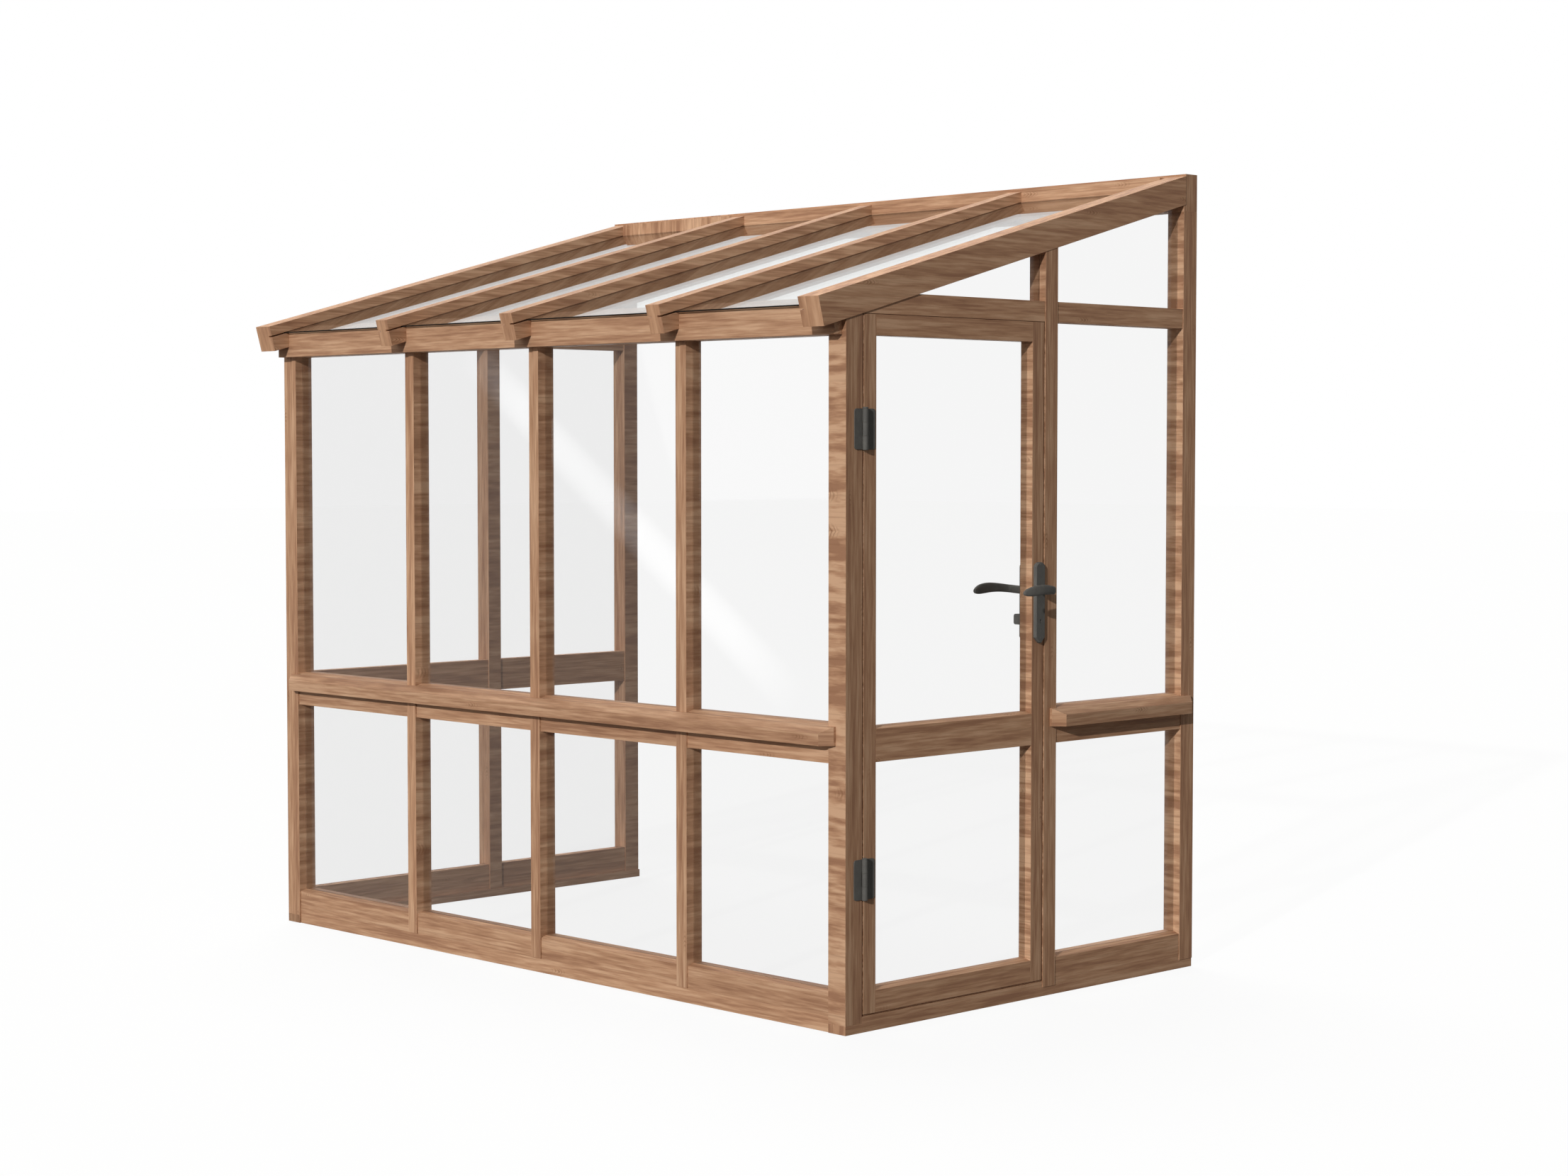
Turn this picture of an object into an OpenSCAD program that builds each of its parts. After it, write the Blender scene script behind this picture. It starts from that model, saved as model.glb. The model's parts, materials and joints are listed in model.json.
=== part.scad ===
// Lean-to glasshouse: a timber frame glazed on the front, both ends and the roof.
// The back is open and stands against a wall, and a hinged door closes the right end.
// Millimetres, +Z up. The origin is at ground level under the middle of the front wall.
// The front faces -Y, the open back faces +Y and the door is in the +X end.

/* [Plan] */
// Clear width of each front bay, from the left
bay_widths = [583.5, 556, 593.5, 551]; // [400:0.5:800]
// Face width of the front corner posts
corner_w = 63.5; // [50:0.5:90]
// Width of the corner posts along the end walls
corner_d = 61; // [58:0.5:90]
// Face width of the front mullions
mullion_w = 42; // [32:0.5:60]
// Thickness of the walls, posts and mullions
wall_t = 57; // [48:0.5:57]
// Width of the door leaf
door_w = 710; // [600:1:850]
// Face width of the mid posts in the end walls
mid_post_w = 51.5; // [40:0.5:80]
// Clear width of the bay behind the mid posts
side_bay = 560; // [400:1:700]
// Face width of the rear posts
rear_post_w = 60; // [55:0.5:90]
// How far the front posts and mullions stand proud of the rails
post_proud = 4; // [2:0.5:6]
// How far the end walls' mid and rear posts stand proud of the rails
side_proud = 2; // [1:0.5:3]

/* [Levels] */
// Height of the sole plates under the end walls
sole_h = 25; // [18:0.5:40]
// Height of the strips on the sole plates, under the door and the bottom rails
strip_h = 17; // [10:0.5:30]
// Height of the bottom rails at their outer face
bottom_rail_h = 61; // [40:0.5:90]
// Level of the sill rails' underside
sill_rail_z = 706.5; // [600:0.5:760]
// Height of the sill rails at their outer face
sill_rail_h = 97.5; // [90:0.5:110]
// Level of the rafters' underside at the front face
eaves_h = 1859; // [1700:1:2050]
// Distance of the eaves beam's underside below the rafters
beam_drop = 40; // [30:0.5:60]
// Rise of the transoms' underside above the rafters' foot
transom_rise = 16.5; // [14:0.5:17]
// Height of the transoms
transom_h = 56.5; // [40:0.5:70]

/* [Glazing] */
// Thickness of the glass
glass_t = 4; // [3:0.5:6]
// Distance of the glass behind the rails' outer face
glass_set = 21; // [14:0.5:24]
// Rise of each rail's weathered top, from its face to the glass
weather_rise = 6.5; // [2:0.5:10]

/* [Sill] */
// Projection of the sills from the post faces
sill_out = 36; // [24:0.5:50]
// Level of the sills' underside
sill_z = 754.5; // [745:0.5:760]
// Height of the sills' upright nosing
nosing_h = 33; // [24:0.5:38]
// Height of the sills at the wall
sill_h = 49.5; // [42:0.5:50]
// Depth of the flat strip along the back of the sills
sill_strip = 7.5; // [5:0.5:12]
// Distance of the front sill's ends from the outer corners
front_sill_inset = 36; // [20:0.5:60]
// Distance of the end walls' sills from the outer edges of their posts
sill_inset = 25; // [15:0.5:45]

/* [Roof] */
// Pitch of the roof in degrees
pitch = 15; // [12:0.5:18]
// Depth of the rafters
rafter_h = 80; // [70:0.5:90]
// Width of the two end rafters
end_rafter_w = 76.5; // [67:0.5:90]
// How far the end rafters stand proud of the end walls
verge_proud = 3.5; // [3:0.5:6]
// Width of the rafters between them
rafter_w = 55; // [46:0.5:70]
// Overhang of the rafter tails in front of the posts
overhang = 104; // [80:1:140]
// Distance of the glazing groove below the top of the rafters
groove_drop = 30.5; // [24:0.5:36]
// Height of the glazing groove
groove_h = 5; // [4.5:0.5:7]
// Depth of the glazing groove into the rafter
groove_in = 15; // [10:0.5:18]
// Length of the roof glass inside each groove
glass_bite = 12; // [8:0.5:14]
// Projection of the eaves beam in front of the posts
beam_out = 30; // [20:0.5:45]
// Distance of the beam's ends from the outer corners
beam_inset = 13.5; // [8:0.5:30]
// Overhang of the roof glass in front of the beam
glass_drip = 20; // [2:0.5:30]
// Thickness of the ridge board
ridge_t = 52.5; // [44:0.5:60]
// Height of the ridge board
ridge_h = 107; // [95:0.5:115]
// Height of the ridge board above the rafters
ridge_rise = 6; // [2:0.5:10]
// Thickness of the ledger in front of the ridge board
ledger_t = 26; // [20:0.5:40]

/* [Door] */
// Gap beside and under the door leaf
door_gap = 5; // [5:0.5:7]
// Gap over the door leaf
head_gap = 1.5; // [1.5:0.5:7]
// Thickness of the door leaf
door_t = 43.5; // [38:0.5:50]
// Face width of the door stiles
stile_w = 46; // [44:0.5:60]
// Height of the door's top rail
door_top_h = 54.5; // [40:0.5:70]
// Level of the door's middle rail
door_mid_z = 706.5; // [600:0.5:760]
// Height of the door's middle rail
door_mid_h = 87.5; // [60:0.5:110]
// Height of the door's bottom rail
door_bottom_h = 59; // [45:0.5:90]
// Rise of the door rails' weathered tops
door_rise = 5; // [2:0.5:8]

/* [Hinges] */
// Distance of the lower hinge from the door's foot
hinge_foot = 303; // [150:1:400]
// Distance of the upper hinge from the door's head
hinge_head = 245; // [150:0.5:400]
// Height of the hinge leaves
hinge_h = 106; // [80:1:130]
// Thickness of the hinge leaves
leaf_t = 2.5; // [2:0.5:4]
// Width of the leaf on the post
frame_leaf_w = 34; // [25:0.5:40]
// Width of the leaf on the door
door_leaf_w = 42; // [30:0.5:43]
// Radius of the hinge leaves' corners
leaf_r = 8; // [4:0.5:12]
// Radius of the hinge knuckles
knuckle_r = 7.5; // [6:0.5:8]
// Radius of the hinge pins
pin_r = 3.5; // [2.5:0.5:4]

/* [Lock] */
// Width of the lock's backplates
plate_w = 40; // [34:0.5:42]
// Height of the lock's backplates
plate_h = 224; // [190:1:240]
// Thickness of the lock's backplates
plate_t = 10; // [6:0.5:12]
// Width of the bevel round the backplates' faces
plate_bevel = 3; // [2:0.5:4]
// Level of the backplates' lower end
plate_z = 989; // [900:1:1020]
// Level of the lever's spindle
spindle_z = 1134; // [1100:1:1150]
// Level of the keyhole and the thumbturn
key_z = 1052; // [1030:1:1070]
// Distance of the lock's centre line from the door's free edge
lock_set = 20; // [20:0.5:23]
// Radius of the lever's spindle
spindle_r = 5; // [4:0.5:6]
// Length of the lever from the spindle
lever_l = 141; // [110:1:150]
// Height of the lever's grip at its widest
lever_h = 30; // [26:0.5:34]
// Thickness of the lever's grip
lever_t = 14; // [10:0.5:16]
// Distance of the lever's bend from the backplate
lever_out = 49; // [40:1:56]
// How much further out the lever's bow is
lever_sweep = 18; // [10:0.5:22]
// Height of the thumbturn
turn_h = 29.5; // [22:0.5:34]

/* [Hidden] */
$fn = 48;

timber = "#a9795b";
timber_shade = "#93684d";
glass = [0.86, 0.91, 0.9, 0.35];
dark_metal = "#3c3d3c";

// Sums of the first n bays, and the walls' outer faces
function bays_before(n) = n <= 0 ? 0 : bay_widths[n - 1] + bays_before(n - 1);
bay_count = len(bay_widths);
length = 2 * corner_w + (bay_count - 1) * mullion_w + bays_before(bay_count);
half_l = length / 2;
front_y = -wall_t / 2;
corner_y = front_y + corner_d;
door_y = corner_y + door_gap;
mid_y = door_y + door_w + door_gap;
side_y = mid_y + mid_post_w;
rear_y = side_y + side_bay;
back_y = rear_y + rear_post_w;
ridge_y = back_y - ridge_t;
ledger_y = ridge_y - ledger_t;
function bay_x(i) = -half_l + corner_w + bays_before(i) + i * mullion_w;

// Levels of the rails' tops at the glass
floor_z = sole_h + strip_h;
bottom_top = floor_z + bottom_rail_h + weather_rise;
sill_top = sill_rail_z + sill_rail_h + weather_rise;
beam_z = eaves_h - beam_drop;
transom_z = eaves_h + transom_rise;
transom_top = transom_z + transom_h;
door_z = floor_z + door_gap;
door_top = transom_z - head_gap;
rail_t = wall_t - post_proud;

// Roof lines: level at a given y, for a line drop millimetres below the rafters' top.
// What meets a slope from below, and the glass in its groove, has a little play.
slope_play = 0.2;
function roof_z(y, drop) =
    eaves_h + (rafter_h - drop) / cos(pitch) + (y - front_y) * tan(pitch);
function under_z(y) = roof_z(y, rafter_h) - slope_play;
groove_floor = groove_drop + groove_h;
glass_floor = groove_floor - slope_play;
ridge_top = roof_z(ridge_y, 0) + ridge_rise;
ridge_z = ridge_top - ridge_h;
tail_y = front_y - overhang;
verge_in = half_l + verge_proud - end_rafter_w;
beam_y = front_y - beam_out;

// The door rails' ends, then the door's hardware
rail_y0 = door_y + stile_w;
rail_y1 = door_y + door_w - stile_w;
hinge_z = [door_z + hinge_foot, door_top - hinge_head - hinge_h];
knuckle_h = hinge_h / 3;
knuckle_x = half_l + knuckle_r + 0.5;
knuckle_y = (corner_y + door_y) / 2;
pin_clear = 0.05;
knuckle_gap = 0.5;
leaf_gap = 1;
lock_y = door_y + door_w - lock_set;
lock_r = plate_w / 2;
plate_arch = 15;
plate_taper = 16;
plate_foot_r = 8;
spindle_room = 11;
neck_r = 11;
neck_gap = 1;
stem_r = 4;
stem_l = 8;
turn_out = 22;
turn_w = 14;
turn_r = 6;
key_r = 3;
key_h = 9;
fuse = 0.01;
past = 1;

// A cross-section drawn as [inward, up] from the front posts' face, run along X
module front_run(x0, x1)
    translate([x0, front_y, 0]) rotate([90, 0, 90]) linear_extrude(x1 - x0) children();

// A cross-section drawn as [inward, up] from the right wall's face, run along Y
module side_run(y0, y1)
    translate([half_l, y0, 0]) rotate([90, 0, 180]) linear_extrude(y1 - y0) children();

// An outline drawn as [y, z] and given a thickness along X
module across(x0, x1)
    translate([x0, 0, 0]) rotate([90, 0, 90]) linear_extrude(x1 - x0) children();

// The same piece on the left end
module on_left() mirror([1, 0, 0]) children();

// Section of a rail, from its outer face, with the top sloped up to the glass
module rail_section(z, h, rise, thick, inward = 0)
    translate([inward, z])
        polygon([[0, 0], [0, h], [glass_set, h + rise], [thick, h + rise], [thick, 0]]);

// A rafter's side view between two lines below its top, from its square tail to y_end
module slope_band(drop0, drop1, y_start, y_end)
    polygon([
        [y_start + drop0 * sin(pitch), roof_z(y_start + drop0 * sin(pitch), drop0)],
        [y_start + drop1 * sin(pitch), roof_z(y_start + drop1 * sin(pitch), drop1)],
        [y_end, roof_z(y_end, drop1)],
        [y_end, roof_z(y_end, drop0)]
    ]);

// One rafter, with a glazing groove on each side that carries glass
module rafter(x0, w, y_end, groove_left, groove_right)
    difference() {
        across(x0, x0 + w) slope_band(0, rafter_h, tail_y, y_end);
        if (groove_left)
            across(x0 - past, x0 + groove_in)
                slope_band(groove_drop, groove_floor, tail_y - past, y_end + past);
        if (groove_right)
            across(x0 + w - groove_in, x0 + w + past)
                slope_band(groove_drop, groove_floor, tail_y - past, y_end + past);
    }

// Left edge of each rafter over the mullions, and the panes between the rafters
function rafter_x(i) = bay_x(i) - mullion_w / 2 - rafter_w / 2;
function pane_x0(i) = i == 0 ? -verge_in : rafter_x(i) + rafter_w;
function pane_x1(i) = i == bay_count - 1 ? verge_in : rafter_x(i + 1);

// Uprights of the right wall, cut to the slope of the end rafter
module side_mid_post()
    across(half_l - wall_t, half_l + side_proud)
        polygon([
            [mid_y, sole_h], [side_y, sole_h], [side_y, under_z(side_y)], [mid_y, under_z(mid_y)]
        ]);

module side_rear_post()
    across(half_l - wall_t, half_l + side_proud)
        polygon([
            [rear_y, sole_h], [back_y, sole_h], [back_y, ridge_z], [ridge_y, ridge_z],
            [ridge_y, under_z(ridge_y)], [rear_y, under_z(rear_y)]
        ]);

module corner_post_solid()
    across(half_l - corner_w, half_l)
        polygon([
            [front_y, sole_h], [corner_y, sole_h],
            [corner_y, under_z(corner_y)], [front_y, under_z(front_y)]
        ]);

// A sill of length l along X: upright nosing, weathered top and hipped ends.
// Each of the gaps, as [start, length], is filled back to the rails, which lie behind the posts'
// faces by set_back.
module sill_body(l, set_back, gaps) {
    cut = sill_out - sill_strip;
    hull() {
        linear_extrude(nosing_h)
            polygon([
                [0, 0], [l, 0], [l, -sill_strip], [l - cut, -sill_out], [cut, -sill_out],
                [0, -sill_strip]
            ]);
        translate([0, -sill_strip, 0]) cube([l, sill_strip, sill_h]);
    }
    for (gap = gaps)
        translate([gap[0], -fuse, 0]) cube([gap[1], set_back + fuse, sill_h]);
}

// A sill on the right wall from y0 to y1, filled behind over each stretch of the wall
module side_sill(y0, y1, stretches)
    translate([half_l + side_proud, y0, sill_z]) rotate([0, 0, 90])
        sill_body(y1 - y0, side_proud, [for (s = stretches) [s[0] - y0, s[1] - s[0]]]);

// A flat pane in the right wall, from an outline drawn as [y, z]
module side_pane()
    across(half_l - glass_set - glass_t, half_l - glass_set) children();

module side_transom(y0, y1)
    across(half_l - rail_t, half_l)
        intersection() {
            translate([y0, transom_z]) square([y1 - y0, transom_h]);
            polygon([
                [y0, 0], [y1, 0], [y1, under_z(y1)], [y0, under_z(y0)]
            ]);
        }

module gable_outline(y0, y1)
    intersection() {
        translate([y0, transom_top]) square([y1 - y0, ridge_top]);
        polygon([[y0, 0], [y1, 0], [y1, under_z(y1)], [y0, under_z(y0)]]);
    }

module sole_plate_front()
    color(timber_shade)
        translate([-half_l + corner_w, front_y + post_proud, 0])
            cube([length - 2 * corner_w, rail_t, floor_z]);

// The end walls' plates run through to the front face, and the front one fits between
module side_sole_plate()
    translate([half_l - corner_w, front_y, 0]) cube([corner_w, back_y - front_y, sole_h]);
module sole_plate_left() color(timber_shade) on_left() side_sole_plate();
module sole_plate_right() color(timber_shade) side_sole_plate();

module side_strips()
    for (bay = [[corner_y, mid_y], [side_y, rear_y]])
        translate([half_l - rail_t, bay[0], sole_h]) cube([rail_t, bay[1] - bay[0], strip_h]);
module threshold_strips()
    color(timber_shade) {
        side_strips();
        on_left() side_strips();
    }

module corner_post_left() color(timber) on_left() corner_post_solid();
module corner_post_right() color(timber) corner_post_solid();

module rear_post_left() color(timber) on_left() side_rear_post();
module rear_post_right() color(timber) side_rear_post();

module front_mullions()
    color(timber)
        for (i = [1 : bay_count - 1])
            translate([bay_x(i) - mullion_w, front_y, floor_z])
                cube([mullion_w, wall_t, beam_z - floor_z]);

module front_bottom_rails()
    color(timber_shade)
        for (i = [0 : bay_count - 1])
            front_run(bay_x(i), bay_x(i) + bay_widths[i])
                rail_section(floor_z, bottom_rail_h, weather_rise, rail_t, post_proud);

module front_sill_rails()
    color(timber_shade)
        for (i = [0 : bay_count - 1])
            front_run(bay_x(i), bay_x(i) + bay_widths[i])
                rail_section(sill_rail_z, sill_rail_h, weather_rise, rail_t, post_proud);

module front_sill() {
    x0 = -half_l + front_sill_inset;
    color(timber)
        translate([x0, front_y, sill_z])
            sill_body(
                -2 * x0, post_proud,
                [for (i = [0 : bay_count - 1]) [bay_x(i) - x0, bay_widths[i]]]
            );
}

module front_panes(z0, z1)
    color(glass)
        for (i = [0 : bay_count - 1])
            translate([bay_x(i), front_y + post_proud + glass_set, z0])
                cube([bay_widths[i], glass_t, z1 - z0]);
module front_lower_glass() front_panes(bottom_top, sill_rail_z);
module front_upper_glass() front_panes(sill_top, beam_z);

// The beam fills the space under the roof glass and is notched for the rafters
module eaves_beam()
    color(timber)
        difference() {
            union() {
                across(-half_l + corner_w, half_l - corner_w)
                    polygon([
                        [beam_y, beam_z], [front_y + wall_t, beam_z],
                        [front_y + wall_t, roof_z(front_y + wall_t, groove_floor)],
                        [beam_y, roof_z(beam_y, groove_floor)]
                    ]);
                across(-half_l + beam_inset, half_l - beam_inset)
                    polygon([
                        [beam_y, beam_z], [front_y, beam_z],
                        [front_y, roof_z(front_y, groove_floor)], [beam_y, roof_z(beam_y, groove_floor)]
                    ]);
            }
            for (i = [1 : bay_count - 1])
                across(rafter_x(i), rafter_x(i) + rafter_w) slope_band(0, rafter_h, tail_y, ridge_y);
            for (x = [-verge_in - end_rafter_w, verge_in])
                across(x, x + end_rafter_w) slope_band(0, rafter_h, tail_y, ridge_y);
        }

module left_mid_post() color(timber) on_left() side_mid_post();
module left_bottom_rails()
    color(timber_shade) on_left() {
        side_run(corner_y, mid_y) rail_section(floor_z, bottom_rail_h, weather_rise, rail_t);
        side_run(side_y, rear_y) rail_section(floor_z, bottom_rail_h, weather_rise, rail_t);
    }
module left_sill_rails()
    color(timber_shade) on_left() {
        side_run(corner_y, mid_y) rail_section(sill_rail_z, sill_rail_h, weather_rise, rail_t);
        side_run(side_y, rear_y) rail_section(sill_rail_z, sill_rail_h, weather_rise, rail_t);
    }
module left_sill() {
    y0 = front_y + front_sill_inset;
    color(timber) on_left()
        side_sill(y0, back_y - sill_inset, [[y0, mid_y], [side_y, rear_y]]);
}
module left_transoms()
    color(timber_shade) on_left() {
        side_transom(corner_y, mid_y);
        side_transom(side_y, rear_y);
    }
module left_wall_glass()
    color(glass) on_left()
        for (bay = [[corner_y, mid_y], [side_y, rear_y]])
            side_pane() {
                translate([bay[0], bottom_top]) square([bay[1] - bay[0], sill_rail_z - bottom_top]);
                translate([bay[0], sill_top]) square([bay[1] - bay[0], transom_z - sill_top]);
            }

module right_mid_post() color(timber) side_mid_post();
module right_bottom_rail()
    color(timber_shade)
        side_run(side_y, rear_y) rail_section(floor_z, bottom_rail_h, weather_rise, rail_t);
module right_sill_rail()
    color(timber_shade)
        side_run(side_y, rear_y) rail_section(sill_rail_z, sill_rail_h, weather_rise, rail_t);
module right_sill()
    color(timber)
        side_sill(mid_y + sill_inset, back_y - sill_inset, [[side_y, rear_y]]);
module right_transoms()
    color(timber_shade) {
        side_transom(corner_y, mid_y);
        side_transom(side_y, rear_y);
    }
module right_wall_glass()
    color(glass) side_pane() {
        translate([side_y, bottom_top]) square([side_bay, sill_rail_z - bottom_top]);
        translate([side_y, sill_top]) square([side_bay, transom_z - sill_top]);
    }
module gable_panes()
    side_pane() {
        gable_outline(corner_y, mid_y);
        gable_outline(side_y, rear_y);
    }
module gable_glass()
    color(glass) {
        gable_panes();
        on_left() gable_panes();
    }

module end_rafter_left()
    color(timber) rafter(-verge_in - end_rafter_w, end_rafter_w, ridge_y, false, true);
module end_rafter_right()
    color(timber) rafter(verge_in, end_rafter_w, ridge_y, true, false);
module rafters()
    color(timber)
        for (i = [1 : bay_count - 1])
            rafter(rafter_x(i), rafter_w, ledger_y, true, true);
module ridge_board()
    color(timber)
        translate([-half_l - side_proud, ridge_y, ridge_z])
            cube([length + 2 * side_proud, ridge_t, ridge_h]);
module ridge_ledger()
    color(timber_shade)
        translate([-verge_in, ledger_y, ridge_z])
            cube([2 * verge_in, ledger_t, roof_z(ledger_y, 0) + ridge_rise - ridge_z]);
module roof_glass()
    color(glass)
        for (i = [0 : bay_count - 1])
            across(pane_x0(i) - glass_bite, pane_x1(i) + glass_bite)
                slope_band(glass_floor - glass_t, glass_floor, beam_y - glass_drip, ledger_y);

// The door leaf: stiles run full height and the rails fit between them
module door_stile(y)
    translate([half_l - door_t, y, door_z]) cube([door_t, stile_w, door_top - door_z]);
module door_hinge_stile() color(timber) door_stile(door_y);
module door_lock_stile()
    color(timber)
        difference() {
            door_stile(door_y + door_w - stile_w);
            for (z = [spindle_z, key_z])
                translate([half_l - door_t - past, lock_y, z])
                    rotate([0, 90, 0]) cylinder(r = spindle_room, h = door_t + 2 * past);
        }
module door_top_rail()
    color(timber_shade)
        translate([half_l - door_t, rail_y0, door_top - door_top_h])
            cube([door_t, rail_y1 - rail_y0, door_top_h]);
module door_mid_rail()
    color(timber_shade)
        side_run(rail_y0, rail_y1) rail_section(door_mid_z, door_mid_h, door_rise, door_t);
module door_bottom_rail()
    color(timber_shade)
        side_run(rail_y0, rail_y1) rail_section(door_z, door_bottom_h, door_rise, door_t);
module door_glass() {
    low = door_z + door_bottom_h + door_rise;
    mid = door_mid_z + door_mid_h + door_rise;
    color(glass) side_pane() {
        translate([rail_y0, low]) square([rail_y1 - rail_y0, door_mid_z - low]);
        translate([rail_y0, mid]) square([rail_y1 - rail_y0, door_top - door_top_h - mid]);
    }
}

// Hinges: the post's leaf carries the outer knuckles and the pin, the door's the middle one
module leaf(w)
    translate([half_l, knuckle_y, 0]) rotate([90, 0, 90]) linear_extrude(leaf_t) {
        square([w - leaf_r, hinge_h]);
        translate([0, leaf_r]) square([w, hinge_h - 2 * leaf_r]);
        for (z = [leaf_r, hinge_h - leaf_r]) translate([w - leaf_r, z]) circle(leaf_r);
    }
module hinge_frame_leaves()
    color(dark_metal)
        for (z = hinge_z) translate([0, 0, z]) {
            difference() {
                translate([0, 2 * knuckle_y, 0]) mirror([0, 1, 0]) leaf(frame_leaf_w);
                translate([knuckle_x, knuckle_y, knuckle_h - knuckle_gap])
                    cylinder(r = knuckle_r + leaf_gap, h = knuckle_h + 2 * knuckle_gap);
            }
            for (part = [0, 2])
                translate([knuckle_x, knuckle_y, part * knuckle_h])
                    cylinder(r = knuckle_r, h = knuckle_h);
            translate([knuckle_x, knuckle_y, 0]) cylinder(r = pin_r, h = hinge_h);
        }
module hinge_door_leaves()
    color(dark_metal)
        for (z = hinge_z) translate([0, 0, z])
            difference() {
                union() {
                    leaf(door_leaf_w);
                    translate([knuckle_x, knuckle_y, 0]) cylinder(r = knuckle_r, h = hinge_h);
                }
                for (part = [0, 2])
                    translate([knuckle_x, knuckle_y, part * knuckle_h - knuckle_gap])
                        cylinder(r = knuckle_r + leaf_gap, h = knuckle_h + 2 * knuckle_gap);
                translate([knuckle_x, knuckle_y, -past])
                    cylinder(r = pin_r + pin_clear, h = hinge_h + 2 * past);
            }

// A backplate outline drawn as [y, z] about the lock's line: an arched head and a pointed foot
module plate_outline(inset) {
    r = lock_r - inset;
    hull() {
        translate([0, plate_z + plate_h - plate_arch]) scale([1, (plate_arch - inset) / r]) circle(r);
        translate([-r, plate_z + plate_taper]) square([2 * r, 1]);
        translate([0, plate_z + plate_foot_r]) circle(plate_foot_r - inset / 2);
    }
}

// One bevelled backplate with its back at x = 0 and its face towards +X
module backplate()
    hull() {
        across(0, plate_t - plate_bevel) plate_outline(0);
        across(plate_t - plate_bevel, plate_t) plate_outline(plate_bevel);
    }
module lock_bore(z, r)
    translate([-past, 0, z]) rotate([0, 90, 0]) cylinder(r = r, h = plate_t + 2 * past);
module lock_backplates()
    color(dark_metal) {
        translate([half_l, lock_y, 0]) difference() {
            backplate();
            lock_bore(spindle_z, spindle_r + pin_clear);
            lock_bore(key_z, key_r);
            translate([-past, -key_r / 2, key_z - key_h])
                cube([plate_t + 2 * past, key_r, key_h]);
        }
        translate([half_l - door_t, lock_y, 0]) mirror([1, 0, 0]) difference() {
            backplate();
            lock_bore(spindle_z, spindle_r + pin_clear);
            lock_bore(key_z, stem_r + pin_clear);
        }
    }

// One lever with its neck, for a plate with its face at x = 0.
// Each station is [share of the length, share of the sweep, rise, share of the height].
module lever_side() {
    wave = [[0, 0, 3, 0.75], [0.4, 0.95, 7, 0.9], [0.72, 1, 4.5, 0.96], [0.93, 0.62, 0, 0.6]];
    translate([neck_gap, 0, 0]) rotate([0, 90, 0]) cylinder(r = neck_r, h = lever_out - neck_gap);
    for (i = [0 : len(wave) - 2])
        hull()
            for (p = [wave[i], wave[i + 1]])
                translate([lever_out + p[1] * lever_sweep, -p[0] * lever_l, p[2]])
                    scale([lever_t / lever_h, 1, 1]) sphere(p[3] * lever_h / 2, $fn = 24);
}
module lever_handle()
    color(dark_metal) translate([half_l, lock_y, spindle_z]) {
        translate([-door_t - plate_t - neck_gap, 0, 0]) rotate([0, 90, 0])
            cylinder(r = spindle_r, h = door_t + 2 * (plate_t + neck_gap));
        translate([plate_t, 0, 0]) lever_side();
        translate([-door_t - plate_t, 0, 0]) mirror([1, 0, 0]) lever_side();
    }

// The thumbturn: a stem through the inner plate and a rounded wing, its side view as [x, z]
module thumbturn()
    color(dark_metal) translate([half_l - door_t - plate_t, lock_y, key_z]) mirror([1, 0, 0]) {
        translate([-plate_t, 0, 0]) rotate([0, 90, 0]) cylinder(r = stem_r, h = plate_t + stem_l + past);
        translate([stem_l, turn_w / 2, -turn_h / 2]) rotate([90, 0, 0]) linear_extrude(turn_w) {
            square([turn_out - turn_r, turn_h]);
            translate([0, turn_r]) square([turn_out, turn_h - 2 * turn_r]);
            for (z = [turn_r, turn_h - turn_r]) translate([turn_out - turn_r, z]) circle(turn_r);
        }
    }

sole_plate_front();
sole_plate_left();
sole_plate_right();
threshold_strips();
corner_post_left();
corner_post_right();
rear_post_left();
rear_post_right();
front_mullions();
front_bottom_rails();
front_sill_rails();
front_sill();
front_lower_glass();
front_upper_glass();
eaves_beam();
left_mid_post();
left_bottom_rails();
left_sill_rails();
left_sill();
left_transoms();
left_wall_glass();
right_mid_post();
right_bottom_rail();
right_sill_rail();
right_sill();
right_transoms();
right_wall_glass();
gable_glass();
end_rafter_left();
end_rafter_right();
rafters();
ridge_board();
ridge_ledger();
roof_glass();
door_hinge_stile();
door_lock_stile();
door_top_rail();
door_mid_rail();
door_bottom_rail();
door_glass();
hinge_frame_leaves();
hinge_door_leaves();
lock_backplates();
lever_handle();
thumbturn();
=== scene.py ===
"""Looks for the lean-to glasshouse: cedar frame, clear panes and dark door hardware.

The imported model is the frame. Every finish is put on its nodes here, and the lever, the
pin heads and the screws are modelled in full around it.
"""

import json
import logging
import math
from dataclasses import dataclass
from enum import Enum
from typing import Any

import bmesh
import bpy
from mathutils import Euler, Matrix, Vector


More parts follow.
